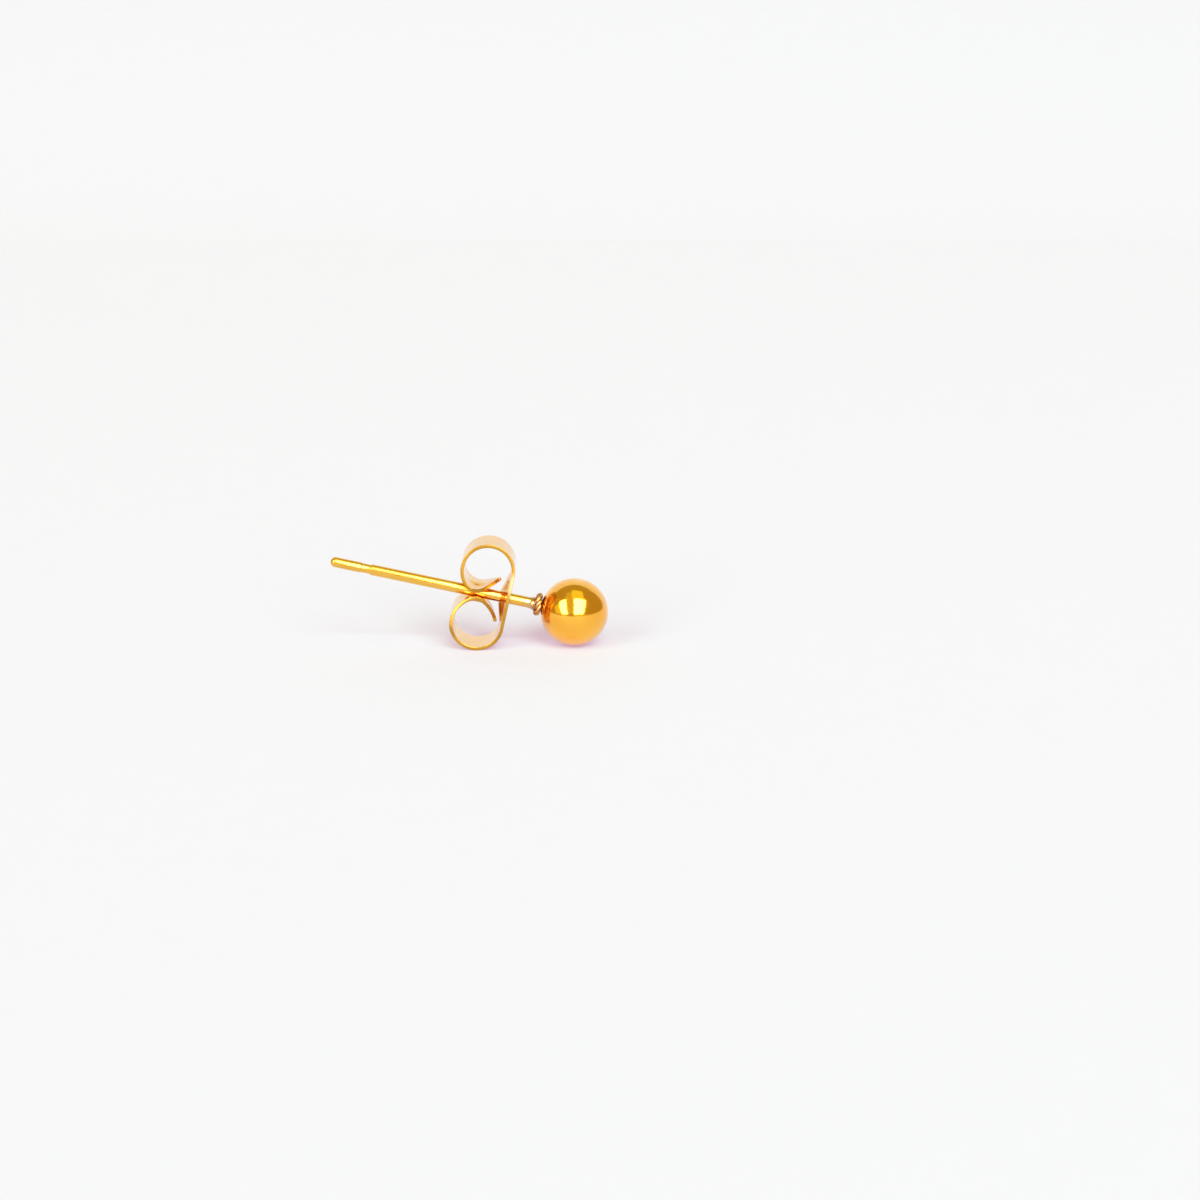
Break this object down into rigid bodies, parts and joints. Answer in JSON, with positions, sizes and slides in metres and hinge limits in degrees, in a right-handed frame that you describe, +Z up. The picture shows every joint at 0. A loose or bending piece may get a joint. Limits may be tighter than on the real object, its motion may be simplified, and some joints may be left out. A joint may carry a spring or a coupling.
{
  "type": "ball stud earring with butterfly clutch",
  "caption": "Ball stud earring on a straight post, held by a rolled butterfly clutch that slides along the post and off its tip.",
  "frame": {"origin": "on the surface that the earring lies on, under the middle of its bounding box", "axes": "+X from the post's tip to the ball, +Y across the clutch's strip, away from the picture's view, +Z up from the surface"},
  "size_m": [0.0162, 0.004, 0.0064],
  "materials": {
    "ball_gold": "mirror-polished gold-coloured plating",
    "post_gold": "drawn wire, gold-coloured plating, bright",
    "collar_gold": "fine twisted wire, gold-coloured plating, a little redder",
    "clutch_gold": "thin rolled spring sheet, pale gold-coloured plating"
  },
  "bodies": {
    "stud": {"ball": "ball_gold", "post": "post_gold", "collar": "collar_gold"},
    "butterfly": {"clutch": "clutch_gold"}
  },
  "joints": [
    {"name": "clutch_slide", "type": "slide", "parent": "stud", "child": "butterfly", "axis": [-0.9765, 0, 0.2155], "range_m": [-0.0012, 0.011]}
  ]
}
